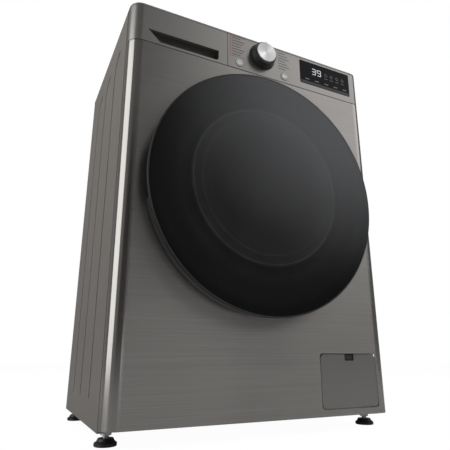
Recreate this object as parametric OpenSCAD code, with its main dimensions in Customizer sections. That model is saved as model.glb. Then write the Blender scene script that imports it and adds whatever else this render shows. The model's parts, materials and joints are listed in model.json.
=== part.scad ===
// Front load washing machine, slim cabinet, full-glass round door.
// Millimetres, +Z up, front facing -Y. Origin on the floor, under the middle of the whole box.
// "s" in the comments is the distance behind the flat front plane.

/* [Cabinet] */
// Width over the side panels
cabinet_w = 600; // [598:1:604]
// Height from the floor to the top of the worktop
cabinet_h = 850; // [850:1:855]
// Depth from the front plane to the rear edge of the side panels
cabinet_d = 432; // [432:1:440]
// Radius of the two vertical front corners
corner_r = 25; // [20:1:28]
// Thickness of the steel sheets
sheet_t = 1.5; // [1.2:0.1:1.8]
// Height of the seam between front panel and control fascia
seam_z = 759.6; // [758:0.1:761]
// Lower edge of the front panel
front_bottom_z = 28.3; // [27:0.1:30]
// Lower edge of the side panels
side_bottom_z = 22.6; // [21:0.1:24]

/* [Door] */
// Radius of the tinted door glass
door_r = 259; // [257:1:260]
// Height of the centre of door, tub and drum
door_z = 470; // [468:1:472]
// How far the door glass stands in front of the front plane
door_proud = 35.5; // [35:0.1:36]
// Radius of the mouth left free by the gasket lip
mouth_r = 149.5; // [149:0.5:152]

/* [Controls] */
// Seam between detergent drawer and fascia
drawer_seam_x = -81.9; // [-84:0.1:-80]
// Centre of the programme knob, across
knob_x = 8; // [6:1:10]
// Centre of the programme knob, height
knob_z = 811; // [809:1:811]
// Radius of the spun metal cap on the knob
knob_cap_r = 25; // [23:1:26]
// Radius of the two round push buttons
button_r = 9.5; // [8:0.5:10]

/* [Drum] */
// Outer radius of the stainless steel drum
drum_r = 240; // [236:1:240]
// Outer radius of the plastic tub
tub_r = 262; // [260:1:263]

/* [Hidden] */
$fn = 72;

half_w = cabinet_w / 2;
rear_stand = 7.5;
total_d = door_proud + cabinet_d + rear_stand;
front_y = door_proud - total_d / 2;
seam_gap = 1.6;
panel_return = 30;
side_front_s = 36;
side_top_z = cabinet_h - 4;
worktop_z0 = cabinet_h - 3.7;
fascia_z0 = seam_z + seam_gap / 2;
fascia_z1 = side_top_z - 0.4;
fascia_t = 2.5;

rib_s = [138, 240, 335];
rib_bottom_z = 70;
rib_bend_z = 745;
rib_bend_r = 42;

hinge_x = 248;
hinge_s = -20.5;
pin_r = 3.5;
ear_r = 5.3;
ear_low_z = door_z - 45;
ear_high_z = door_z + 38;
ear_h = 7;
hook_x = -214;

hatch_x0 = 124;
hatch_x1 = 270;
hatch_z0 = 42;
hatch_z1 = 147;
hatch_axis_s = 3.5;
hatch_axis_z = 47;
hatch_pin_r = 2;
filter_x = 197;
filter_z = 94.5;

power_x = -52;
start_x = 68;
button_z = 777;
window_x0 = 114;
window_x1 = 266;
window_z0 = 777;
window_z1 = 841;

foot_x = 280;
foot_front_s = 60;
foot_rear_s = 400;
spring_x = 283;
spring_s = 216;
hose_x = -180;
hose_s = 290;
sump_x = 197;
sump_s = 110;
inlet_x = -230;
inlet_z = 800;
drain_x = -235;
drain_z = 100;
gland_x = 235;
gland_z = 790;
shaft_r = 12.5;

// Points along an arc
function arc(cx, cy, r, a0, a1, n = 8) =
    [for (i = [0:n]) let (a = a0 + (a1 - a0) * i / n) [cx + r * cos(a), cy + r * sin(a)]];

// Outline of a rectangle with round corners
function round_rect(x0, y0, x1, y1, r) = concat(
    arc(x1 - r, y1 - r, r, 0, 90),
    arc(x0 + r, y1 - r, r, 90, 180),
    arc(x0 + r, y0 + r, r, 180, 270),
    arc(x1 - r, y0 + r, r, 270, 360)
);

function reversed(p) = [for (i = [len(p) - 1:-1:0]) p[i]];

// Plan outline of a sheet that wraps round both front corners and ends at s_end
function front_outline(s_end, inset) = concat(
    [[half_w - inset, s_end]],
    arc(half_w - corner_r, corner_r, corner_r - inset, 0, -90, 14),
    arc(corner_r - half_w, corner_r, corner_r - inset, -90, -180, 14),
    [[inset - half_w, s_end]]
);

// Vertical pressed line that bends towards the front at its top
function rib_outline(s, w) = concat(
    arc(s, rib_bottom_z, w / 2, 180, 360),
    arc(s - rib_bend_r, rib_bend_z, rib_bend_r + w / 2, 0, 90, 10),
    arc(s - rib_bend_r, rib_bend_z + rib_bend_r, w / 2, 90, 270),
    arc(s - rib_bend_r, rib_bend_z, rib_bend_r - w / 2, 90, 0, 10)
);

module box(x0, x1, s0, s1, z0, z1) {
    translate([x0, front_y + s0, z0]) cube([x1 - x0, s1 - s0, z1 - z0]);
}

// An outline drawn in x and z, as a plate from s0 to s1
module plate(s0, s1) {
    translate([0, front_y + s1, 0]) rotate([90, 0, 0]) linear_extrude(s1 - s0) children();
}

// A cylinder along Y from s0 to s1
module rod(x, z, r, s0, s1) {
    translate([x, front_y + s0, z]) rotate([-90, 0, 0]) cylinder(r = r, h = s1 - s0);
}

// A profile of radius and s, turned about an axis along Y
module turned(x, z, points) {
    translate([x, front_y, z]) rotate([-90, 0, 0]) rotate_extrude($fn = 128) polygon(points);
}

// A tube along Z
module upright_tube(x, s, r_out, r_in, z0, z1) {
    translate([x, front_y + s, z0]) difference() {
        cylinder(r = r_out, h = z1 - z0);
        translate([0, 0, -1]) cylinder(r = r_in, h = z1 - z0 + 2);
    }
}

module wrapped_band(t, z0, z1) {
    translate([0, front_y, z0]) linear_extrude(z1 - z0)
        polygon(concat(front_outline(panel_return, 0), reversed(front_outline(panel_return, t))));
}

// ---- Cabinet ----

module side_panel() {
    flange = 15;
    press = 2;
    rib_w = 8;
    inner_x = sheet_t - half_w;
    difference() {
        union() {
            box(-half_w, inner_x, side_front_s, cabinet_d, side_bottom_z, side_top_z);
            box(-half_w + 0.5, flange - half_w, side_front_s, side_front_s + sheet_t,
                side_bottom_z, side_top_z);
            box(-half_w + 0.5, flange - half_w, cabinet_d - sheet_t, cabinet_d,
                side_bottom_z, side_top_z);
            box(-half_w + 0.5, flange - half_w, side_front_s + 0.5, cabinet_d - 0.5,
                side_top_z - sheet_t, side_top_z);
            box(-half_w + 0.5, 28 - half_w, spring_s - 10, spring_s + 10, 752, 755);
            for (s = rib_s) translate([0.5 - half_w, front_y, 0]) rotate([90, 0, 90])
                linear_extrude(press + sheet_t - 0.5) polygon(rib_outline(s, rib_w + 3));
        }
        for (s = rib_s) translate([-1 - half_w, front_y, 0]) rotate([90, 0, 90])
            linear_extrude(press + 1) polygon(rib_outline(s, rib_w));
    }
}

module left_side_panel() {
    color("dimgray") side_panel();
}

module right_side_panel() {
    color("dimgray") mirror([1, 0, 0]) side_panel();
}

module front_panel() {
    lug_t = 3;
    color("gray") difference() {
        union() {
            wrapped_band(sheet_t, front_bottom_z, seam_z - seam_gap / 2);
            for (x = [hatch_x0 - 2 - lug_t, hatch_x1 + 2])
                box(x, x + lug_t, sheet_t - 0.5, 8, hatch_axis_z - 6, hatch_axis_z + 6);
        }
        rod(0, door_z, 176, -1, sheet_t + 1);
        plate(-1, sheet_t + 1) polygon(round_rect(hatch_x0, hatch_z0 - 1, hatch_x1, hatch_z1 + 0.4, 6));
        box(hook_x - 8, hook_x + 8, -1, sheet_t + 1, door_z - 18, door_z + 18);
        for (x = [hatch_x0 - 2 - lug_t, hatch_x1 + 2])
            translate([x - 1, front_y + hatch_axis_s, hatch_axis_z]) rotate([0, 90, 0])
                cylinder(r = hatch_pin_r + 0.06, h = lug_t + 2);
    }
}

module back_panel() {
    s1 = cabinet_d - sheet_t - 0.3;
    color("darkgray") difference() {
        box(4 - half_w, half_w - 4, s1 - sheet_t, s1, 28, side_top_z - 3);
        plate(s1 - 3, s1 + 1) polygon(round_rect(-160, 285, 160, 625, 40));
        rod(inlet_x, inlet_z, 16, s1 - 3, s1 + 1);
        rod(drain_x, drain_z, 14, s1 - 3, s1 + 1);
        rod(gland_x, gland_z, 9.5, s1 - 3, s1 + 1);
    }
}

module back_service_cover() {
    s0 = cabinet_d - sheet_t;
    color("darkgray") difference() {
        union() {
            plate(s0, s0 + 1.5) polygon(round_rect(-185, 260, 185, 650, 30));
            plate(s0 + 1, s0 + 6) polygon(round_rect(-150, 295, 150, 615, 30));
        }
        plate(s0 - 1, s0 + 4.5) polygon(round_rect(-148, 297, 148, 613, 28));
    }
}

module base_pan() {
    x1 = half_w - 4;
    color("slategray") difference() {
        box(-x1, x1, side_front_s + 2, cabinet_d - 6, 24, 45);
        box(1.5 - x1, x1 - 1.5, side_front_s + 3.5, cabinet_d - 7.5, 25.5, 46);
        for (x = [-foot_x, foot_x], s = [foot_front_s, foot_rear_s])
            translate([x, front_y + s, 23]) cylinder(r = 5.3, h = 4);
    }
}

module worktop() {
    rim_x = half_w - 17;
    color("silver") difference() {
        union() {
            translate([0, front_y, worktop_z0]) linear_extrude(cabinet_h - worktop_z0)
                polygon(front_outline(cabinet_d + 3, 0));
            box(-rim_x, rim_x, 34, cabinet_d - 5, worktop_z0 - 3, worktop_z0 + 1);
        }
        box(3 - rim_x, rim_x - 3, 37, cabinet_d - 8, worktop_z0 - 4, worktop_z0);
    }
}

module control_fascia() {
    x0 = drawer_seam_x + 0.5;
    color("gray") difference() {
        union() {
            intersection() {
                wrapped_band(fascia_t, fascia_z0, fascia_z1);
                box(x0, half_w + 1, -1, panel_return + 1, fascia_z0 - 1, fascia_z1 + 1);
            }
            box(x0 + 0.5, x0 + 3, 1, 25, fascia_z0 + 0.5, fascia_z1 - 0.5);
            box(3 - half_w, x0 + 2, 24, 26.5, fascia_z0 + 1, fascia_z1 - 1);
        }
        box(-274, -96, 23, 28, 768, 836);
        plate(-1, 1.6) polygon(round_rect(window_x0, window_z0, window_x1, window_z1, 3));
        plate(-1, 4) polygon(round_rect(window_x0 + 4, window_z0 + 4, window_x1 - 4, window_z1 - 4, 2));
        rod(knob_x, knob_z, 8, -1, 4);
        for (x = [power_x, start_x]) rod(x, button_z, button_r + 0.5, -1, 4);
    }
}

module display_window() {
    color("black") plate(0.1, 1.5)
        polygon(round_rect(window_x0 + 0.3, window_z0 + 0.3, window_x1 - 0.3, window_z1 - 0.3, 2.8));
}

module display_board() {
    color("darkgreen") union() {
        box(-70, 276, 10, 11.6, 766, 841);
        box(110, 270, 4.5, 10.5, 781, 837);
    }
}

module main_control_box() {
    color("gainsboro") difference() {
        box(120, 272, 200, 380, 772, 838);
        box(123, 269, 203, 377, 775, 835);
    }
}

module knob_ring() {
    color("black") turned(knob_x, knob_z,
        [[8, -0.2], [33, -0.2], [33, -2], [32, -3], [8, -3]]);
}

module front_brace() {
    color("slategray") union() {
        box(-284, 284, 32, 34, 726, 762);
        box(-284, 284, 33, 58, 725, 727);
    }
}

// ---- Water path ----

module dispenser_housing() {
    color("whitesmoke") difference() {
        box(-278, -92, 27, 330, 764, 841);
        box(-276, -94, 26, 328, 766, 839);
        translate([hose_x, front_y + hose_s, 763]) cylinder(r = 14, h = 5);
    }
}

module dispenser_hose() {
    color("black") upright_tube(hose_x, hose_s, 20, 16.8, 684, 763.7);
}

module inlet_valve() {
    color("whitesmoke") difference() {
        union() {
            box(inlet_x - 25, inlet_x + 25, 385, 422, inlet_z - 20, inlet_z + 18);
            rod(inlet_x, inlet_z, 13.2, 420, cabinet_d + rear_stand);
            translate([inlet_x, front_y + 404, inlet_z + 16]) cylinder(r = 14, h = 22);
            rod(inlet_x, inlet_z, 8, 332, 387);
        }
        rod(inlet_x, inlet_z, 9, 395, cabinet_d + rear_stand + 1);
        rod(inlet_x, inlet_z, 5, 331, 396);
    }
}

module drain_pump() {
    color("lightgray") difference() {
        union() {
            rod(filter_x, filter_z, 32, 24, 92);
            rod(filter_x, filter_z, 38, 90, 132);
            rod(filter_x, filter_z, 24, 130, 183);
            box(filter_x - 18, filter_x + 18, 95, 180, 26, 80);
            translate([sump_x, front_y + sump_s, 120]) cylinder(r = 16.5, h = 32);
        }
        rod(filter_x, filter_z, 27.5, 23, 88);
        translate([sump_x, front_y + sump_s, 118]) cylinder(r = 13, h = 35);
    }
}

module sump_hose() {
    color("black") upright_tube(sump_x, sump_s, 20, 16.8, 136, 270);
}

module drain_outlet() {
    color("lightgray") difference() {
        union() {
            rod(drain_x, drain_z, 11, 400, cabinet_d + rear_stand);
            rod(drain_x, drain_z, 18, 424, 428.2);
        }
        rod(drain_x, drain_z, 8, 399, cabinet_d + rear_stand + 1);
    }
}

module cable_gland() {
    color("black") difference() {
        union() {
            rod(gland_x, gland_z, 9, 424, 437);
            rod(gland_x, gland_z, 13, 430.5, 433);
        }
        rod(gland_x, gland_z, 4.5, 423, 438);
    }
}

module filter_cap() {
    color("whitesmoke") difference() {
        union() {
            rod(filter_x, filter_z, 30, 13, 21);
            rod(filter_x, filter_z, 26.5, 20, 80);
            box(filter_x - 22, filter_x + 22, 5.5, 14, filter_z - 4, filter_z + 4);
        }
        rod(filter_x, filter_z, 23.5, 26, 81);
        for (a = [0:60:300]) translate([filter_x, front_y + 50, filter_z]) rotate([0, a, 0])
            translate([20, -18, -5]) cube([10, 40, 10]);
    }
}

// ---- Tub, weights, suspension ----

module tub_front() {
    color("gainsboro") difference() {
        union() {
            rod(0, door_z, tub_r, 77, 205);
            translate([sump_x, front_y + sump_s, 250]) cylinder(r = 16.5, h = 80);
        }
        rod(0, door_z, tub_r - 4, 81, 206);
        rod(0, door_z, 160, 76, 82);
        translate([sump_x, front_y + sump_s, 249]) cylinder(r = 13, h = 90);
    }
}

module tub_rear() {
    color("gainsboro") difference() {
        union() {
            rod(0, door_z, tub_r, 205.4, 354);
            rod(0, door_z, 36, 353, 394);
            translate([hose_x, front_y + hose_s, 620]) cylinder(r = 16.5, h = 92);
            for (side = [-1, 1]) box(side * 266 - 26, side * 266 + 26, spring_s - 8, spring_s + 8, 556, 564);
        }
        rod(0, door_z, tub_r - 4, 204, 350);
        translate([hose_x, front_y + hose_s, 619]) cylinder(r = 13, h = 100);
        rod(0, door_z, 20, 349, 357);
        rod(0, door_z, 26.05, 356, 395);
    }
}

module counterweight(start) {
    translate([0, front_y, door_z]) rotate([-90, 0, 0]) rotate([0, 0, start])
        rotate_extrude(angle = 120, $fn = 96) polygon([[186, 46], [245, 46], [245, 74], [186, 74]]);
}

module upper_counterweight() {
    color("silver") counterweight(210);
}

module lower_counterweight() {
    color("silver") counterweight(30);
}

// A wire wound as a helix, drawn as plane triangles
module coil_spring(radius, wire_r, height, turns) {
    per_turn = 9;
    steps = turns * per_turn;
    sides = 4;
    points = [
        for (i = [0:steps], k = [0:sides - 1])
            let (a = i * 360 / per_turn, b = k * 360 / sides, r = radius + wire_r * cos(b))
                [r * cos(a), r * sin(a), height * i / steps + wire_r * sin(b)]
    ];
    walls = [
        for (i = [0:steps - 1], k = [0:sides - 1], half = [0, 1])
            let (n = (k + 1) % sides, lo = i * sides, hi = lo + sides)
                half == 0 ? [lo + k, hi + k, hi + n] : [lo + k, hi + n, lo + n]
    ];
    first = [[0, 1, 2], [0, 2, 3]];
    last = [for (t = [[0, 2, 1], [0, 3, 2]]) [for (k = t) steps * sides + k]];
    polyhedron(points, concat(first, walls, last));
}

module suspension_springs() {
    color("silver") for (side = [-1, 1])
        translate([side * spring_x, front_y + spring_s, 568]) coil_spring(6.5, 1.8, 180, 7);
}

module shock_absorbers() {
    color("dimgray") for (side = [-1, 1])
        translate([side * 190, front_y + 200, 40]) rotate([0, -side * 13.9, 0]) union() {
            cylinder(r = 15, h = 115);
            cylinder(r = 6, h = 192);
        }
}

module heater() {
    rod_z = door_z - 249;
    color("silver") union() {
        for (x = [-30, 30]) rod(x, rod_z, 4, 120, 349.5);
        box(-32, 32, 117, 124, rod_z - 3, rod_z + 3);
    }
}

module door_gasket() {
    lip = mouth_r;
    color("black") turned(0, door_z, [
        [182, 1.8], [182, 5.5], [164, 9], [lip + 4, 13], [lip + 4, 30], [170, 37], [170, 49],
        [161, 55], [161, 70], [172, 70], [172, 76.4], [157, 76.4], [157, 53], [166, 47],
        [166, 39], [lip, 33], [lip, 11], [160, 5], [172, 1.8]
    ]);
}

// ---- Drum and drive ----

module drum_shell() {
    skin = 1.2;
    color("lightsteelblue") turned(0, door_z, [
        [162, 92], [232, 92], [drum_r, 100], [drum_r, 334], [0, 334], [0, 334 - skin],
        [drum_r - skin, 334 - skin], [drum_r - skin, 100.5], [231.5, 92 + skin], [162, 92 + skin]
    ]);
}

module drum_lifters() {
    color("lightgray") for (a = [0, 120, 240])
        translate([0, front_y + 320, door_z]) rotate([90, a, 0]) linear_extrude(200) intersection() {
            polygon([[-34, -250], [34, -250], [16, -186], [8, -180], [-8, -180], [-16, -186]]);
            circle(r = drum_r - 1.6, $fn = 128);
        }
}

module drum_spider() {
    color("silver") difference() {
        union() {
            rod(0, door_z, 32, 335, 347);
            for (a = [60, 180, 300]) translate([0, front_y + 335, door_z]) rotate([0, a, 0])
                translate([-20, 0, 0]) cube([40, 10, 225]);
        }
        rod(0, door_z, shaft_r + 0.05, 334, 348);
    }
}

module drive_shaft() {
    color("silver") rod(0, door_z, shaft_r, 335, 405);
}

module rotor() {
    color("dimgray") turned(0, door_z, [
        [shaft_r + 0.05, 396], [shaft_r + 0.05, 399], [133, 399], [133, 360], [129, 360], [129, 396]
    ]);
}

module bearing_ring(s0, s1) {
    difference() {
        rod(0, door_z, 26, s0, s1);
        rod(0, door_z, shaft_r + 0.05, s0 - 1, s1 + 1);
    }
}

module bearings() {
    color("silver") union() {
        bearing_ring(357.5, 371);
        bearing_ring(379, 392);
    }
}

module shaft_seal() {
    color("black") difference() {
        rod(0, door_z, 19.8, 350, 356);
        rod(0, door_z, shaft_r + 0.08, 349, 357);
    }
}

module stator() {
    color("peru") difference() {
        union() {
            rod(0, door_z, 100, 360, 384);
            for (a = [0:30:330]) translate([0, front_y + 360, door_z]) rotate([-90, 0, 0])
                rotate([0, 0, a]) translate([108, 0, 0]) cylinder(r = 12, h = 24);
        }
        rod(0, door_z, 62, 359, 385);
    }
}

// ---- Door, its lock and its hinge ----

module door_lock() {
    color("gainsboro") difference() {
        box(-229, -188, 2.5, 38, door_z - 45, door_z + 45);
        box(hook_x - 7, hook_x + 7, 1, 30, door_z - 17, door_z + 17);
    }
}

module hinge_bracket() {
    color("silver") difference() {
        union() {
            box(204, 241, -2.3, -0.3, door_z - 55, door_z + 55);
            for (z = [ear_low_z, ear_high_z]) {
                translate([hinge_x, front_y + hinge_s, z]) cylinder(r = ear_r, h = ear_h);
                box(hinge_x - 12, hinge_x - 3, hinge_s, -1, z, z + ear_h);
            }
        }
        translate([hinge_x, front_y + hinge_s, ear_low_z - 1]) cylinder(r = pin_r + 0.01, h = 100);
    }
}

module hinge_pin() {
    color("silver") translate([hinge_x, front_y + hinge_s, ear_low_z - 2])
        cylinder(r = pin_r, h = ear_high_z + ear_h - ear_low_z + 4);
}

module door_glass() {
    back = 6.5 - door_proud;
    color([0.12, 0.12, 0.13]) turned(0, door_z, [
        [0, -door_proud], [door_r - 2.5, -door_proud], [door_r - 0.6, 1 - door_proud],
        [door_r, 2.5 - door_proud], [door_r, back], [0, back]
    ]);
}

module door_rim() {
    s0 = 6.8 - door_proud;
    color("black") turned(0, door_z,
        [[door_r - 8, s0], [door_r - 0.4, s0], [door_r - 0.4, s0 + 2.5], [door_r - 8, s0 + 2.5]]);
}

module hinge_clearance(grow) {
    for (z = [ear_low_z, ear_high_z])
        translate([hinge_x, front_y + hinge_s, z - grow]) cylinder(r = 24, h = ear_h + 2 * grow);
}

module door_frame() {
    s0 = 9.6 - door_proud;
    color([0.2, 0.2, 0.21]) difference() {
        turned(0, door_z, [
            [door_r - 0.6, s0], [256, -4], [206, -4], [206, -6.5], [252.8, -6.5], [door_r - 4, s0]
        ]);
        hinge_clearance(2.4);
        translate([hinge_x, front_y + hinge_s, ear_low_z])
            cylinder(r = ear_r + 0.5, h = ear_high_z - ear_low_z);
        box(194, 257.5, -9, -3, door_z - 56, door_z + 56);
        box(-262, -222, s0 - 1, -3, door_z - 56, door_z + 52);
    }
}

module door_grip() {
    s0 = 10 - door_proud;
    z0 = door_z - 55.6;
    z1 = door_z + 51.6;
    color([0.1, 0.1, 0.1]) difference() {
        intersection() {
            box(-258, -222.4, s0, -4, z0, z1);
            rod(0, door_z, door_r - 3, -30, 0);
        }
        box(-262, -225, s0 + 2, -3, z0 + 2.5, z1 - 2.5);
    }
}

module door_inner_frame() {
    color([0.3, 0.3, 0.31]) turned(0, door_z, [
        [148, -9], [205.6, -9], [205.6, -3], [150, -3], [146.5, -6]
    ]);
}

module door_bowl() {
    wall = 4;
    color([0.5, 0.5, 0.52, 0.6]) turned(0, door_z, concat(
        [[166, -14], [166, -9.5], [144, -9.5], [142, -2], [137, 50]],
        arc(104, 82, 26, 0, 80, 8),
        [[0, 116], [0, 112]],
        reversed(arc(104, 82, 22, 0, 80, 8)),
        [[133, 50], [138, -2], [140, -14]]
    ));
}

module door_hinge_leaf() {
    z0 = ear_low_z + ear_h + 0.4;
    z1 = ear_high_z - 0.4;
    color("silver") translate([0, front_y, 0]) difference() {
        union() {
            translate([hinge_x, hinge_s, z0]) cylinder(r = ear_r, h = z1 - z0);
            translate([200, hinge_s - 2, z0]) cube([hinge_x - 200, 4, z1 - z0]);
        }
        translate([hinge_x, hinge_s, z0 - 1]) cylinder(r = pin_r + 0.05, h = z1 - z0 + 2);
    }
}

module door_latch_hook() {
    color("silver") union() {
        box(hook_x - 3, hook_x + 3, -3.7, 16, door_z - 10, door_z + 10);
        box(hook_x - 3, hook_x + 6, 11, 16, door_z - 10, door_z + 10);
    }
}

// ---- Detergent drawer ----

// Opening of the grip: a slanted left end and a round lower right corner
function grip_outline() = concat(
    [[-264, 791], [-236.5, 766]],
    arc(-111.5, 774, 8, 270, 360),
    [[-103.5, 791]]
);

module drawer_front() {
    color("dimgray") difference() {
        union() {
            intersection() {
                wrapped_band(fascia_t, fascia_z0, fascia_z1);
                box(-half_w - 1, drawer_seam_x - 0.4, -1, panel_return + 1, fascia_z0 - 1, fascia_z1 + 1);
            }
            box(-268, -98, 1, 19, fascia_z0 + 2, 796);
        }
        plate(-1, 16) polygon(grip_outline());
    }
}

module drawer_tray() {
    color("whitesmoke") difference() {
        box(-270, -100, 19.5, 290, 772, 832);
        box(-267.5, -192, 24, 287.5, 775, 833);
        box(-189.5, -146, 24, 287.5, 775, 833);
        box(-143.5, -102.5, 24, 287.5, 775, 833);
    }
}

module siphon_cap() {
    color("steelblue") box(-143, -103, 170, 287, 800, 808);
}

// ---- Knob and buttons ----

module knob_body() {
    color([0.2, 0.2, 0.21]) union() {
        turned(knob_x, knob_z, [
            [0, -3.4], [30, -3.4], [30, -6], [28, -17.5], [26, -19.2], [0, -19.2]
        ]);
        rod(knob_x, knob_z, 5, -4, 8.5);
        box(knob_x - 0.8, knob_x + 0.8, -19.6, -16, knob_z + 25.6, knob_z + 28);
    }
}

module knob_cap() {
    color("silver") turned(knob_x, knob_z, [
        [0, -19.4], [knob_cap_r, -19.4], [knob_cap_r, -21], [knob_cap_r - 1, -22], [0, -21.2]
    ]);
}

module push_button(x) {
    rod(x, button_z, button_r, -1.2, 4);
    rod(x, button_z, 4, 3, 7.5);
}

module power_button() {
    color("dimgray") push_button(power_x);
}

module start_button() {
    color("dimgray") push_button(start_x);
}

// ---- Service hatch ----

module service_hatch() {
    gap = 1;
    color("gray") difference() {
        union() {
            plate(0, 2)
                polygon(round_rect(hatch_x0 + gap, hatch_z0 + gap, hatch_x1 - gap, hatch_z1 - gap, 10));
            for (x = [hatch_x0 + 2, hatch_x1 - 6])
                box(x, x + 4, 1, 6, hatch_axis_z - 2.5, hatch_axis_z + 9);
            for (x = [hatch_x0 - 5.5, hatch_x1 - 3])
                translate([x, front_y + hatch_axis_s, hatch_axis_z]) rotate([0, 90, 0])
                    cylinder(r = hatch_pin_r, h = 8.5);
            box(filter_x - 14, filter_x + 14, 1, 4, hatch_z1 - 22, hatch_z1 - 4);
        }
        plate(-1, 2.8) polygon(round_rect(filter_x - 10, hatch_z1 - 14, filter_x + 14, hatch_z1 + 3, 3));
    }
}

// ---- Feet ----

module each_foot() {
    for (x = [-foot_x, foot_x], s = [foot_front_s, foot_rear_s]) translate([x, front_y + s, 0]) children();
}

module foot_pads() {
    color([0.1, 0.1, 0.1]) each_foot() rotate_extrude()
        polygon([[0, 0], [18.4, 0], [19, 1], [19, 5], [15, 8], [13, 12], [0, 12]]);
}

module foot_studs() {
    color("silver") each_foot() translate([0, 0, 12.2]) cylinder(r = 5, h = 34);
}

module foot_nuts() {
    color("silver") each_foot() translate([0, 0, 16.5]) difference() {
        cylinder(r = 9.5, h = 7, $fn = 6);
        translate([0, 0, -1]) cylinder(r = 5.1, h = 9, $fn = 48);
    }
}

left_side_panel();
right_side_panel();
front_panel();
back_panel();
back_service_cover();
base_pan();
worktop();
control_fascia();
display_window();
display_board();
main_control_box();
knob_ring();
front_brace();
dispenser_housing();
dispenser_hose();
inlet_valve();
door_gasket();
door_lock();
hinge_bracket();
hinge_pin();
tub_front();
tub_rear();
upper_counterweight();
lower_counterweight();
suspension_springs();
shock_absorbers();
heater();
bearings();
shaft_seal();
stator();
drain_pump();
sump_hose();
drain_outlet();
foot_pads();
foot_studs();
foot_nuts();
cable_gland();
door_glass();
door_rim();
door_frame();
door_inner_frame();
door_bowl();
door_hinge_leaf();
door_latch_hook();
door_grip();
drawer_front();
drawer_tray();
siphon_cap();
knob_body();
knob_cap();
power_button();
start_button();
service_hatch();
filter_cap();
drum_shell();
drum_lifters();
drum_spider();
drive_shaft();
rotor();
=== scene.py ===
import bpy
import json
import math
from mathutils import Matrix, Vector


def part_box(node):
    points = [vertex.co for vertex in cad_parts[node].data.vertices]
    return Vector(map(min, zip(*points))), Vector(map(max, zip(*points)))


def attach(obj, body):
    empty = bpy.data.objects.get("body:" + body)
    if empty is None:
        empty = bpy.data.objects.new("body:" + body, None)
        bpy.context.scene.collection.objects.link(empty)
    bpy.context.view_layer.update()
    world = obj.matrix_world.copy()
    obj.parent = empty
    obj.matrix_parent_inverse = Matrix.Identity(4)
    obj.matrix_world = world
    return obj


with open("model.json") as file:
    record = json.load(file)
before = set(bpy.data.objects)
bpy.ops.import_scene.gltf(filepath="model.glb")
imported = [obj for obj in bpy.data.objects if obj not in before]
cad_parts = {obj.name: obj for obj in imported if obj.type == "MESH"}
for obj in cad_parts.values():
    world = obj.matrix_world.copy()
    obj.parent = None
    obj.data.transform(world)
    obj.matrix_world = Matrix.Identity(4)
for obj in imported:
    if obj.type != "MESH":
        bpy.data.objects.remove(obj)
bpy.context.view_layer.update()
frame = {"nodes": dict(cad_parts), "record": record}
nodes = frame["nodes"]
MM = 0.001
WHITE = (1, 1, 1, 1)


# ---------------------------------------------------------------- places, from the frame

def corners(name):
    """Lower and upper corner of a CAD piece's box."""
    lo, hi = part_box(name)
    return Vector(lo), Vector(hi)


def centre_of(name):
    lo, hi = corners(name)
    return (lo + hi) / 2


CORNER_R = 25 * MM
PANEL_LO, PANEL_HI = corners("front_panel")
FRONT_Y = PANEL_LO.y
FLAT_HALF_W = PANEL_HI.x - CORNER_R
GLASS_LO, GLASS_HI = corners("door_glass")
DOOR_CENTRE = (GLASS_LO + GLASS_HI) / 2
DOOR_R = (GLASS_HI.x - GLASS_LO.x) / 2
KNOB_CENTRE = centre_of("knob_cap")


# ---------------------------------------------------------------- node helpers

def fill(tree, socket, value):
    """Links the output of another node, or stores a constant."""
    if isinstance(value, bpy.types.NodeSocket):
        tree.links.new(value, socket)
    else:
        socket.default_value = value


def connect(tree, target, **inputs):
    """Fills inputs by name, with _ for a space."""
    for key, value in inputs.items():
        fill(tree, target.inputs[key.replace("_", " ")], value)


def add_node(tree, kind, **inputs):
    n = tree.nodes.new(kind)
    connect(tree, n, **inputs)
    return n


def shader_of(mat):
    return mat.node_tree.nodes["Principled BSDF"]


def new_material(name):
    mat = bpy.data.materials.new(name)
    mat.use_nodes = True
    return mat, mat.node_tree, shader_of(mat)


def calculate(tree, operation, *values):
    n = tree.nodes.new("ShaderNodeMath")
    n.operation = operation
    for socket, value in zip(n.inputs, values):
        fill(tree, socket, value)
    return n.outputs["Value"]


def vector_maths(tree, operation, *values):
    n = tree.nodes.new("ShaderNodeVectorMath")
    n.operation = operation
    for socket, value in zip(n.inputs, values):
        fill(tree, socket, value)
    return n.outputs["Value" if operation in ("LENGTH", "DOT_PRODUCT") else "Vector"]


def blend(tree, mode, amount, first, second):
    """Mixes two colours."""
    n = tree.nodes.new("ShaderNodeMix")
    n.data_type = "RGBA"
    n.blend_type = mode
    factor, colour_a, colour_b = n.inputs[0], n.inputs[6], n.inputs[7]
    fill(tree, factor, amount)
    fill(tree, colour_a, first)
    fill(tree, colour_b, second)
    return n.outputs[2]


def object_coords(tree, scale=(1, 1, 1)):
    coord = tree.nodes.new("ShaderNodeTexCoord")
    mapping = add_node(tree, "ShaderNodeMapping", Vector=coord.outputs["Object"], Scale=scale)
    return mapping.outputs["Vector"]


def noise(tree, vector, scale, detail, rough=0.6):
    n = add_node(tree, "ShaderNodeTexNoise", Vector=vector, Scale=scale, Detail=detail, Roughness=rough)
    return n.outputs["Fac"]


def ramp(tree, fac, stops):
    n = add_node(tree, "ShaderNodeValToRGB", Fac=fac)
    elements = n.color_ramp.elements
    while len(elements) < len(stops):
        elements.new(0.5)
    for element, (place, colour) in zip(elements, stops):
        element.position = place
        element.color = (*colour, 1)
    return n.outputs["Color"]


def spread(tree, fac, low, high):
    n = add_node(tree, "ShaderNodeMapRange", Value=fac, To_Min=low, To_Max=high)
    return n.outputs["Result"]


def bump(tree, shader, height, strength, distance=0.1 * MM):
    n = add_node(tree, "ShaderNodeBump", Strength=strength, Distance=distance, Height=height)
    connect(tree, shader, Normal=n.outputs["Normal"])


def grey(v, warm=0.0):
    return (v * (1 + warm), v, v * (1 - warm))


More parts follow.
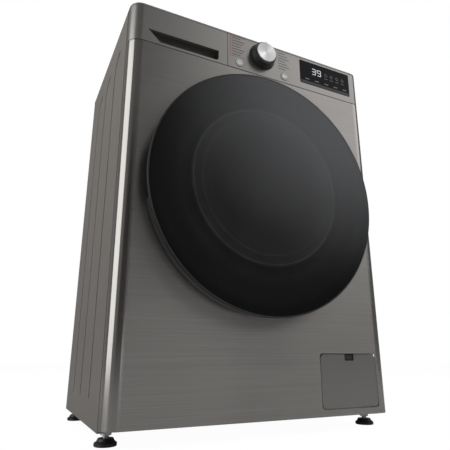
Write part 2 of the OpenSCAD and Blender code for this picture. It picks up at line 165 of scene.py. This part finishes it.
def radius_from(tree, centre):
    """Distance from an axis along Y through centre, in metres, and the offset across that axis."""
    coord = tree.nodes.new("ShaderNodeTexCoord")
    offset = vector_maths(tree, "SUBTRACT", coord.outputs["Object"], centre)
    flat = vector_maths(tree, "MULTIPLY", offset, (1, 0, 1))
    return vector_maths(tree, "LENGTH", flat), flat


def axis_level(tree, position, start, end):
    """0 before start and 1 after end, for a position in metres."""
    level = add_node(tree, "ShaderNodeMapRange", Value=position, From_Min=start, From_Max=end)
    level.interpolation_type = "SMOOTHSTEP"
    return level.outputs["Result"]


# ---------------------------------------------------------------- materials

def brushed_steel(name, low, high, metallic, roughness, warm=0.0, polished_bend=False):
    """Fine horizontal lines, noise drawn out along X, that smear highlights upright."""
    mat, tree, shader = new_material(name)
    lines = noise(tree, object_coords(tree, (1.2, 260, 420)), 3.0, 6.0, 0.75)
    clouds = noise(tree, object_coords(tree, (3, 3, 9)), 1.0, 2.0)
    tone = calculate(tree, "MULTIPLY_ADD", clouds, 0.25, lines)
    rough = spread(tree, lines, roughness - 0.06, roughness + 0.10)
    if polished_bend:
        split = add_node(tree, "ShaderNodeSeparateXYZ", Vector=object_coords(tree))
        side = calculate(tree, "ABSOLUTE", split.outputs["X"])
        bend = axis_level(tree, side, FLAT_HALF_W - 5 * MM, FLAT_HALF_W + 2 * MM)
        rough = calculate(tree, "MULTIPLY", rough, spread(tree, bend, 1.0, 0.45))
    level = tree.nodes.new("ShaderNodeTangent")
    level.direction_type = "RADIAL"
    level.axis = "Z"
    connect(
        tree, shader, Roughness=rough, Metallic=metallic, Anisotropic=0.8, Anisotropic_Rotation=0.25,
        Tangent=level.outputs["Tangent"],
        Base_Color=ramp(tree, tone, [(0.42, grey(low, warm)), (0.82, grey(high, warm))]),
    )
    bump(tree, shader, lines, 0.06)
    return mat


def recess_shade(tree, colour, darker):
    """Darkens what lies behind the front plane, such as a grip recess, but not the left bend."""
    split = add_node(tree, "ShaderNodeSeparateXYZ", Vector=object_coords(tree))
    deep = axis_level(tree, split.outputs["Y"], FRONT_Y + 2.5 * MM, FRONT_Y + 9 * MM)
    inner = axis_level(tree, split.outputs["X"], -FLAT_HALF_W + 3 * MM, -FLAT_HALF_W + 13 * MM)
    return blend(tree, "MIX", calculate(tree, "MULTIPLY", deep, inner), colour, (*darker, 1))


def satin_paint(name, low, high, metallic, roughness, warm=0.03, peel=0.05, dark_recess=False):
    """Painted sheet: faint cloudiness, fine orange peel and metallic fleck."""
    mat, tree, shader = new_material(name)
    fleck = noise(tree, object_coords(tree), 2600.0, 2.0)
    clouds = noise(tree, object_coords(tree), 5.0, 3.0)
    tone = calculate(tree, "MULTIPLY_ADD", clouds, 0.35, fleck)
    colour = ramp(tree, tone, [(0.45, grey(low, warm)), (0.9, grey(high, warm))])
    if dark_recess:
        colour = recess_shade(tree, colour, grey(low * 0.62, warm))
    connect(
        tree, shader, Base_Color=colour, Metallic=metallic,
        Roughness=spread(tree, clouds, roughness - 0.04, roughness + 0.06),
    )
    bump(tree, shader, noise(tree, object_coords(tree), 900.0, 2.0), peel)
    return mat


def moulded_plastic(name, colour, roughness, grain=0.12, scale=1800.0, coat=0.0):
    """Plain plastic or rubber: slightly cloudy colour and a fine mould grain."""
    mat, tree, shader = new_material(name)
    clouds = noise(tree, object_coords(tree), 30.0, 3.0)
    darker = tuple(c * 0.86 for c in colour)
    connect(
        tree, shader, Base_Color=ramp(tree, clouds, [(0.3, darker), (0.7, colour)]),
        Roughness=spread(tree, clouds, roughness - 0.05, roughness + 0.05), Coat_Weight=coat,
    )
    bump(tree, shader, noise(tree, object_coords(tree), scale, 2.0), grain)
    return mat


def tinted_glass():
    """Dark glass with the dish behind it painted on as a faint paler round; its thin bright rings are
    painted highlights, reflections on the bowl glass inside.
    """
    mat, tree, shader = new_material("tinted_door_glass")
    radius, flat = radius_from(tree, DOOR_CENTRE + Vector((-6, 0, 7)) * MM)
    share = calculate(tree, "DIVIDE", radius, DOOR_R)
    # painted on: the dish seen through the glass as a paler round about a centre 6 mm left and 7 mm up,
    # thin bright rings of painted highlight, soft darker rings further out, darkest at the edge
    rings = ramp(tree, share, [
        (0.0, grey(0.020)), (0.40, grey(0.016)), (0.555, grey(0.022)), (0.565, grey(0.036)),
        (0.575, grey(0.021)), (0.630, grey(0.024)), (0.638, grey(0.050)), (0.646, grey(0.022)),
        (0.665, grey(0.009)), (0.74, grey(0.014)), (0.80, grey(0.009)), (0.93, grey(0.007)),
        (0.97, grey(0.002)),
    ])
    haze = noise(tree, flat, 14.0, 3.0)
    veil = ramp(tree, haze, [(0.35, grey(0.55)), (0.7, grey(1.0))])
    connect(
        tree, shader, Base_Color=blend(tree, "MULTIPLY", 0.6, rings, veil), IOR=1.57, Alpha=0.93,
        Roughness=spread(tree, haze, 0.09, 0.13), Specular_Tint=(0.94, 0.96, 1.0, 1),
    )
    return mat


def clear_glass():
    mat, tree, shader = new_material("clear_bowl_glass")
    streaks = noise(tree, object_coords(tree), 40.0, 3.0)
    connect(
        tree, shader, Base_Color=ramp(tree, streaks, [(0.3, grey(0.55)), (0.7, grey(0.68))]),
        Roughness=spread(tree, streaks, 0.02, 0.05), Transmission_Weight=1.0, IOR=1.5,
    )
    return mat


def spun_metal():
    """Fine rings turned round the knob's axis, and a soft conical highlight painted into the colour."""
    mat, tree, shader = new_material("spun_metal")
    radius, flat = radius_from(tree, KNOB_CENTRE)
    turning = tree.nodes.new("ShaderNodeTexNoise")
    turning.noise_dimensions = "1D"
    connect(tree, turning, W=radius, Scale=5200.0, Detail=3.0)
    rings = turning.outputs["Fac"]
    split = add_node(tree, "ShaderNodeSeparateXYZ", Vector=flat)
    around = add_node(tree, "ShaderNodeCombineXYZ", X=split.outputs["X"], Y=split.outputs["Z"])
    wedges = add_node(tree, "ShaderNodeTexGradient", Vector=around.outputs["Vector"])
    wedges.gradient_type = "RADIAL"
    # painted highlight: bright and dark wedges round the knob's axis, painted into the base colour
    painted_sheen = ramp(tree, wedges.outputs["Fac"], [
        (0.0, grey(0.62)), (0.12, grey(1.0)), (0.25, grey(0.58)), (0.42, grey(0.72)),
        (0.62, grey(1.0)), (0.76, grey(0.56)), (1.0, grey(0.62)),
    ])
    lines = ramp(tree, rings, [(0.3, grey(0.5)), (0.7, grey(1.0))])
    connect(
        tree, shader, Base_Color=blend(tree, "MULTIPLY", 0.5, painted_sheen, lines), Metallic=1.0,
        Roughness=spread(tree, rings, 0.24, 0.40),
    )
    bump(tree, shader, rings, 0.15)
    return mat


def perforated_steel():
    """Stainless drum skin with rows of round holes drawn as dark pits."""
    mat, tree, shader = new_material("perforated_steel")
    holes = add_node(
        tree, "ShaderNodeTexVoronoi", Vector=object_coords(tree), Scale=62.0, Randomness=0.0
    ).outputs["Distance"]
    brush = noise(tree, object_coords(tree, (40, 2, 40)), 6.0, 5.0)
    connect(
        tree, shader, Base_Color=ramp(tree, holes, [(0.16, grey(0.02)), (0.21, grey(0.55))]),
        Roughness=spread(tree, brush, 0.22, 0.38), Metallic=1.0,
    )
    bump(tree, shader, holes, 0.3, 1 * MM)
    return mat


def glowing(name, colour, strength):
    mat, tree, shader = new_material(name)
    shimmer = noise(tree, object_coords(tree), 400.0, 2.0)
    dim = tuple(c * 0.8 for c in colour)
    connect(
        tree, shader, Emission_Color=ramp(tree, shimmer, [(0.3, dim), (0.7, colour)]),
        Emission_Strength=strength, Base_Color=(*grey(0.02), 1),
    )
    return mat


def cast_stone():
    mat, tree, shader = new_material("cast_stone")
    grit = noise(tree, object_coords(tree), 180.0, 6.0, 0.8)
    connect(
        tree, shader, Base_Color=ramp(tree, grit, [(0.3, grey(0.3)), (0.7, grey(0.55))]), Roughness=0.9
    )
    bump(tree, shader, grit, 0.5, 1 * MM)
    return mat


FINISHES = {
    "side_paint": satin_paint("side_paint", 0.21, 0.27, 0.20, 0.42, warm=0.09),
    "front_steel": brushed_steel("front_steel", 0.28, 0.38, 0.86, 0.30, warm=0.045, polished_bend=True),
    "fascia_finish": satin_paint(
        "fascia_satin", 0.27, 0.31, 0.80, 0.30, warm=0.045, peel=0.02, dark_recess=True
    ),
    "worktop_paint": satin_paint("worktop_paint", 0.22, 0.28, 0.3, 0.45),
    "structure_steel": brushed_steel("zinc_steel", 0.40, 0.62, 1.0, 0.36),
    "black_plastic": moulded_plastic("black_plastic", grey(0.018), 0.42),
    "frame_plastic": moulded_plastic("frame_plastic", grey(0.045), 0.30, 0.04, 900.0, coat=0.3),
    "black_glass": moulded_plastic("black_window", grey(0.004), 0.16, 0.01, 500.0),
    "tinted_glass": tinted_glass(),
    "clear_glass": clear_glass(),
    "gasket_rubber": moulded_plastic("gasket_rubber", grey(0.06), 0.62, 0.2, 700.0),
    "white_plastic": moulded_plastic("white_plastic", grey(0.66, 0.01), 0.45),
    "blue_plastic": moulded_plastic("blue_plastic", (0.08, 0.20, 0.45), 0.35),
    "spun_metal": spun_metal(),
    "button_plastic": moulded_plastic("button_plastic", grey(0.46), 0.34, 0.03, 1500.0, coat=0.3),
    "stainless": perforated_steel(),
    "cast_alloy": moulded_plastic("cast_alloy", grey(0.42), 0.5, 0.4, 500.0),
    "bearing_steel": brushed_steel("ground_steel", 0.5, 0.66, 1.0, 0.25),
    "motor_parts": moulded_plastic("motor_parts", (0.20, 0.12, 0.07), 0.5),
    "concrete": cast_stone(),
    "circuit_board": moulded_plastic("circuit_board", (0.02, 0.13, 0.06), 0.4),
}
shader_of(FINISHES["black_glass"]).inputs["Specular IOR Level"].default_value = 0.06
shader_of(FINISHES["cast_alloy"]).inputs["Metallic"].default_value = 1.0

for part in frame["record"]["subparts"]:
    piece = nodes[part["node"]]
    piece.data.materials.clear()
    piece.data.materials.append(FINISHES[part["material_slot"]])


# ---------------------------------------------------------------- softened edges on CAD pieces

def soften(name, width):
    """Joins the split corners, rounds the edges and keeps the flats flat."""
    piece = nodes[name]
    weld = piece.modifiers.new("weld", "WELD")
    weld.merge_threshold = 0.02 * MM
    bevel = piece.modifiers.new("bevel", "BEVEL")
    bevel.width = width
    bevel.segments = 2
    bevel.limit_method = "ANGLE"
    bevel.angle_limit = math.radians(40)
    bevel.use_clamp_overlap = True
    for polygon in piece.data.polygons:
        polygon.use_smooth = True
    flats = piece.modifiers.new("flats", "WEIGHTED_NORMAL")
    flats.weight = 80


EDGE_WIDTHS_MM = {
    0.3: ["display_window"],
    0.4: ["front_panel", "service_hatch", "left_side_panel", "right_side_panel", "back_service_cover",
          "drawer_tray", "base_pan"],
    0.5: ["control_fascia", "foot_nuts"],
    0.6: ["drawer_front", "power_button", "start_button", "filter_cap"],
    0.8: ["worktop"],
}
for width, names in EDGE_WIDTHS_MM.items():
    for name in names:
        soften(name, width * MM)


# ---------------------------------------------------------------- making new pieces

def make_piece(name, verts, faces, finish, body):
    mesh = bpy.data.meshes.new(name)
    mesh.from_pydata(verts, [], faces)
    mesh.validate()
    mesh.update()
    piece = bpy.data.objects.new(name, mesh)
    bpy.context.scene.collection.objects.link(piece)
    mesh.materials.append(finish)
    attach(piece, body)
    return piece


def prisms(outlines, y_back, y_front):
    """Closed prisms whose outlines are drawn in x and z, from y_back out to y_front."""
    verts = []
    faces = []
    for outline in outlines:
        base = len(verts)
        count = len(outline)
        verts += [(x, y_back, z) for x, z in outline] + [(x, y_front, z) for x, z in outline]
        faces.append([base + i for i in range(count)][::-1])
        faces.append([base + count + i for i in range(count)])
        for i in range(count):
            n = (i + 1) % count
            faces.append([base + i, base + n, base + count + n, base + count + i])
    return verts, faces


def bar(x0, x1, z0, z1):
    return [(x0, z0), (x1, z0), (x1, z1), (x0, z1)]


def centred_bar(cx, cz, width, height):
    return bar(cx - width / 2, cx + width / 2, cz - height / 2, cz + height / 2)


def ring_prisms(cx, cz, r_out, r_in, a0, a1, steps):
    """Short prisms side by side that make an arc of a flat ring."""
    out = []
    for i in range(steps):
        a = math.radians(a0 + (a1 - a0) * i / steps)
        b = math.radians(a0 + (a1 - a0) * (i + 1) / steps)
        out.append([
            (cx + r_in * math.cos(a), cz + r_in * math.sin(a)),
            (cx + r_out * math.cos(a), cz + r_out * math.sin(a)),
            (cx + r_out * math.cos(b), cz + r_out * math.sin(b)),
            (cx + r_in * math.cos(b), cz + r_in * math.sin(b)),
        ])
    return out


def revolved(name, centre, profile, finish, body, steps=192):
    """A closed profile of radius and depth, turned about an axis along Y through centre."""
    verts = []
    faces = []
    count = len(profile)
    for i in range(steps):
        a = 2 * math.pi * i / steps
        verts += [
            (centre.x + r * math.cos(a), centre.y + y, centre.z + r * math.sin(a)) for r, y in profile
        ]
        n = (i + 1) % steps
        for k in range(count):
            m = (k + 1) % count
            faces.append([i * count + k, i * count + m, n * count + m, n * count + k])
    piece = make_piece(name, verts, faces, finish, body)
    for polygon in piece.data.polygons:
        polygon.use_smooth = True


# ---------------------------------------------------------------- printed and lit marks

PRINT_LIFT = 0.01 * MM
PRINT_T = 0.12 * MM
PRINT_DARK = moulded_plastic("printed_dark", grey(0.05), 0.5)
STRIP_GREY = moulded_plastic("window_strip", grey(0.028), 0.5)
PRINT_RED = moulded_plastic("printed_red", (0.45, 0.03, 0.03), 0.5)
GLOW_WHITE = glowing("lit_white", (0.85, 0.92, 1.0), 0.9)
GLOW_DIM = glowing("lit_dim", (0.30, 0.32, 0.35), 0.5)


def printed(name, outlines, finish, body="cabinet", face_y=FRONT_Y):
    """Flat marks that stand a hair in front of face_y."""
    verts, faces = prisms(outlines, face_y - PRINT_LIFT, face_y - PRINT_T)
    make_piece(name, verts, faces, finish, body)


def list_of_dashes(x, shortest, step):
    """Rows of plain dashes from x to the right, of three lengths that take turns."""
    rows = 7
    top = KNOB_CENTRE.z + 28 * MM
    pitch = 7.2 * MM
    half_h = 0.8 * MM
    dashes = []
    for row in range(rows):
        z = top - pitch * row
        length = (shortest + 5 * ((row * step) % 3)) * MM
        dashes.append(bar(x, x + length, z - half_h, z + half_h))
    return dashes


def programme_dashes():
    """Short plain marks beside the knob in place of programme names."""
    printed("programme_marks_left", list_of_dashes(KNOB_CENTRE.x - 79 * MM, 22, 5), PRINT_DARK)
    printed("programme_marks_right", list_of_dashes(KNOB_CENTRE.x + 44 * MM, 20, 7), PRINT_DARK)


def red_bracket():
    """Thin red lines that frame the left list."""
    left = KNOB_CENTRE.x - 83 * MM
    top = KNOB_CENTRE.z + 33 * MM
    low = KNOB_CENTRE.z - 20 * MM
    w = 0.8 * MM
    printed("red_frame_lines", [
        bar(left, left + 40 * MM, top - w, top),
        bar(left, left + w, low, top),
        bar(left, left + 37 * MM, low, low + w),
    ], PRINT_RED)


def power_symbol(cx, cz):
    """An open ring with a short upright bar in its gap."""
    ring = ring_prisms(cx, cz, 4.2 * MM, 3.2 * MM, -240, 60, 20)
    return ring + [bar(cx - 0.5 * MM, cx + 0.5 * MM, cz + 1 * MM, cz + 4.8 * MM)]


def start_symbol(cx, cz):
    """A play triangle and two pause bars."""
    half_h = 3 * MM
    shapes = [[(cx - 4 * MM, cz - half_h), (cx + 0.5 * MM, cz), (cx - 4 * MM, cz + half_h)]]
    for x in (cx + 1.4 * MM, cx + 3.2 * MM):
        shapes.append(bar(x, x + 1 * MM, cz - half_h, cz + half_h))
    return shapes


def button_marks():
    for body, symbol in (("power", power_symbol), ("start", start_symbol)):
        button = body + "_button"
        centre = centre_of(button)
        face_y = corners(button)[0].y
        printed(button + "_mark", symbol(centre.x, centre.z), GLOW_WHITE, body, face_y)


def digit(lit, x, z, w, h):
    """Seven-segment digit with its lower left corner at x, z; lit names its segments."""
    t = 0.14 * w
    mid = z + h / 2
    segments = {
        "a": bar(x + t, x + w - t, z + h - t, z + h),
        "b": bar(x + w - t, x + w, mid + t / 3, z + h - t / 3),
        "c": bar(x + w - t, x + w, z + t / 3, mid - t / 3),
        "d": bar(x + t, x + w - t, z, z + t),
        "f": bar(x, x + t, mid + t / 3, z + h - t / 3),
        "g": bar(x + t, x + w - t, mid - t / 2, mid + t / 2),
    }
    return [segments[s] for s in lit]


def display_marks():
    """Two lit digits, a row of ring icons, a row of dashes and a grey strip on the black window."""
    lo, hi = corners("display_window")
    width = hi.x - lo.x
    height = hi.z - lo.z
    three_and_nine = ("abgcd", "abcdfg")
    digits = []
    for i, lit in enumerate(three_and_nine):
        x = lo.x + width * (0.235 + 0.105 * i)
        digits += digit(lit, x, lo.z + height * 0.50, width * 0.080, height * 0.27)
    icons = []
    for i in range(4):
        x = lo.x + width * (0.52 + 0.115 * i)
        z = lo.z + height * 0.64
        icons += ring_prisms(x, z, 4.0 * MM, 3.2 * MM, 0, 360, 16)
        icons.append(centred_bar(x, z - 10.1 * MM, 10 * MM, 1 * MM))
    for i in range(5):
        x = lo.x + width * (0.10 + 0.19 * i)
        icons.append(bar(x, x + 12 * MM, lo.z + height * 0.22, lo.z + height * 0.25))
    edge = 1 * MM
    strip = [bar(lo.x + edge, hi.x - edge, lo.z + edge, lo.z + height * 0.14)]
    for name, shapes, finish in (
        ("display_digits", digits, GLOW_WHITE),
        ("display_strip", strip, STRIP_GREY),
        ("display_icons", icons, GLOW_DIM),
    ):
        printed(name, shapes, finish, "cabinet", lo.y)


# ---------------------------------------------------------------- trim

def door_edge_trim():
    """Thin black bead round the edge of the door glass, with a rounded front."""
    outer = DOOR_R + 0.4 * MM
    inner = DOOR_R - 2.6 * MM
    bulge = 0.9 * MM
    front = GLASS_LO.y - DOOR_CENTRE.y + 0.95 * MM
    back = GLASS_HI.y - DOOR_CENTRE.y + 0.2 * MM
    mid = (outer + inner) / 2
    half = (outer - inner) / 2
    turns = [math.pi * i / 6 for i in range(7)]
    arc = [(mid + half * math.cos(a), front - bulge * math.sin(a)) for a in turns]
    profile = arc + [(inner, back), (outer, back)]
    revolved("door_edge_trim", DOOR_CENTRE, profile, FINISHES["black_plastic"], "door")


def hatch_latch_recess():
    """Dark finger catch in the notch at the top of the service hatch, just right of the filter's axis: a
    dark tab in front of a black plate that is painted shade on the notch floor.
    """
    cx = centre_of("filter_cap").x + 2 * MM
    top = corners("service_hatch")[1].z
    floor_y = FRONT_Y + 2.78 * MM
    recess = bar(cx - 11.6 * MM, cx + 11.6 * MM, top - 13 * MM, top - 0.6 * MM)
    tab = bar(cx - 9 * MM, cx + 9 * MM, top - 9 * MM, top - 5 * MM)
    # the thin black plate on the notch floor is painted shade in the notch; the tab stands in front of it
    for name, outline, y_back, y_front, slot in (
        ("latch_notch_shade", recess, floor_y, floor_y - 0.5 * MM, "black_plastic"),
        ("latch_tab", tab, floor_y - 0.4 * MM, floor_y - 1.8 * MM, "frame_plastic"),
    ):
        verts, faces = prisms([outline], y_back, y_front)
        make_piece(name, verts, faces, FINISHES[slot], "hatch")


programme_dashes()
door_edge_trim()
hatch_latch_recess()
red_bracket()
button_marks()
display_marks()


# ---------------------------------------------------------------- floor, light, camera

def pale_floor():
    """Pale floor that the eye sees nearly white, with a trace of shadow."""
    finish = moulded_plastic("pale_floor", grey(0.34), 0.6, 0.0)
    tree = finish.node_tree
    shader = shader_of(finish)
    connect(tree, shader, Emission_Color=WHITE, Emission_Strength=0.07)
    white = add_node(tree, "ShaderNodeEmission", Strength=1.12)
    seen = tree.nodes.new("ShaderNodeLightPath")
    share = calculate(tree, "MULTIPLY", seen.outputs["Is Camera Ray"], 0.86)
    mix = add_node(tree, "ShaderNodeMixShader", Fac=share)
    tree.links.new(shader.outputs["BSDF"], mix.inputs[1])
    tree.links.new(white.outputs["Emission"], mix.inputs[2])
    tree.links.new(mix.outputs["Shader"], tree.nodes["Material Output"].inputs["Surface"])
    return finish


def add_floor():
    mesh = bpy.data.meshes.new("floor")
    r = 9.0
    mesh.from_pydata([(-r, -r, 0), (r, -r, 0), (r, r, 0), (-r, r, 0)], [], [(0, 1, 2, 3)])
    floor = bpy.data.objects.new("floor", mesh)
    bpy.context.scene.collection.objects.link(floor)
    mesh.materials.append(pale_floor())


def nearness(tree, direction):
    """1 straight along a direction of the sky and less to its sides."""
    coord = tree.nodes.new("ShaderNodeTexCoord")
    return vector_maths(tree, "DOT_PRODUCT", coord.outputs["Generated"], Vector(direction).normalized())


def add_world():
    """White to the eye; for reflections, a soft sky brightest high at the front right, dark front left."""
    world = bpy.data.worlds.new("studio")
    bpy.context.scene.world = world
    world.use_nodes = True
    tree = world.node_tree
    tree.nodes.clear()
    glow = ramp(tree, nearness(tree, (0.62, -0.50, 0.60)), [
        (0.0, grey(0.15)), (0.55, grey(0.09)), (0.86, grey(0.06)), (0.89, grey(0.13)),
        (0.935, grey(0.52)), (0.965, grey(0.90)), (1.0, grey(1.0)),
    ])
    flag = ramp(tree, nearness(tree, (-0.30, -0.95, 0.10)), [(0.885, grey(1.0)), (0.955, grey(0.06))])
    shaded = blend(tree, "MULTIPLY", 1.0, glow, flag)
    soft = add_node(tree, "ShaderNodeBackground", Color=shaded, Strength=1.5)
    white = add_node(tree, "ShaderNodeBackground", Color=WHITE, Strength=1.0)
    path = tree.nodes.new("ShaderNodeLightPath")
    mix = add_node(tree, "ShaderNodeMixShader", Fac=path.outputs["Is Camera Ray"])
    out = tree.nodes.new("ShaderNodeOutputWorld")
    tree.links.new(soft.outputs["Background"], mix.inputs[1])
    tree.links.new(white.outputs["Background"], mix.inputs[2])
    tree.links.new(mix.outputs["Shader"], out.inputs["Surface"])


def add_softbox(name, place, target, size, power, mirrored=False):
    """A rectangular light that either lights matt surfaces or is mirrored by glossy ones."""
    light = bpy.data.lights.new(name, "AREA")
    light.shape = "RECTANGLE"
    light.size = size[0]
    light.size_y = size[1]
    light.energy = power
    lamp = bpy.data.objects.new(name, light)
    lamp.location = place
    lamp.visible_glossy = mirrored
    lamp.visible_diffuse = not mirrored
    lamp.rotation_euler = (Vector(target) - Vector(place)).to_track_quat("-Z", "Y").to_euler()
    bpy.context.scene.collection.objects.link(lamp)


def add_camera():
    """Low at the front left, looking up at the machine."""
    left_of_middle = 0.4516
    before_front = 0.7503
    height = 0.1441
    tilt_up = math.radians(16.46)
    turn_right = math.radians(25.84)
    cam = bpy.data.cameras.new("camera")
    cam.lens = 35.25
    cam.sensor_width = 36.0
    camera = bpy.data.objects.new("camera", cam)
    camera.location = (-left_of_middle, FRONT_Y - before_front, height)
    camera.rotation_euler = (math.pi / 2 + tilt_up, 0, -turn_right)
    bpy.context.scene.collection.objects.link(camera)
    bpy.context.scene.camera = camera


add_floor()
add_world()
add_softbox("left_strip", (-2.4, -0.20, 1.0), (-0.30, -0.2, 0.45), (2.0, 2.8), 38, mirrored=True)
add_softbox("left_fill", (-2.2, -0.5, 1.7), (-0.28, 0.0, 0.65), (0.8, 1.6), 12)
add_softbox("front_glow", (0.40, -2.2, 0.12), (-0.15, -0.2, 0.12), (1.0, 0.2), 0.55, mirrored=True)
add_softbox("right_front", (2.4, -2.2, 1.6), (0.1, -0.2, 0.5), (1.8, 1.6), 38)
add_softbox("overhead", (0.0, -0.4, 3.2), (0.0, 0.0, 0.4), (2.4, 2.0), 45)
add_softbox("rear_fill", (-1.6, 2.2, 1.8), (0.0, 0.2, 0.4), (1.6, 1.6), 12)
add_camera()
bpy.context.scene.view_settings.view_transform = "Standard"
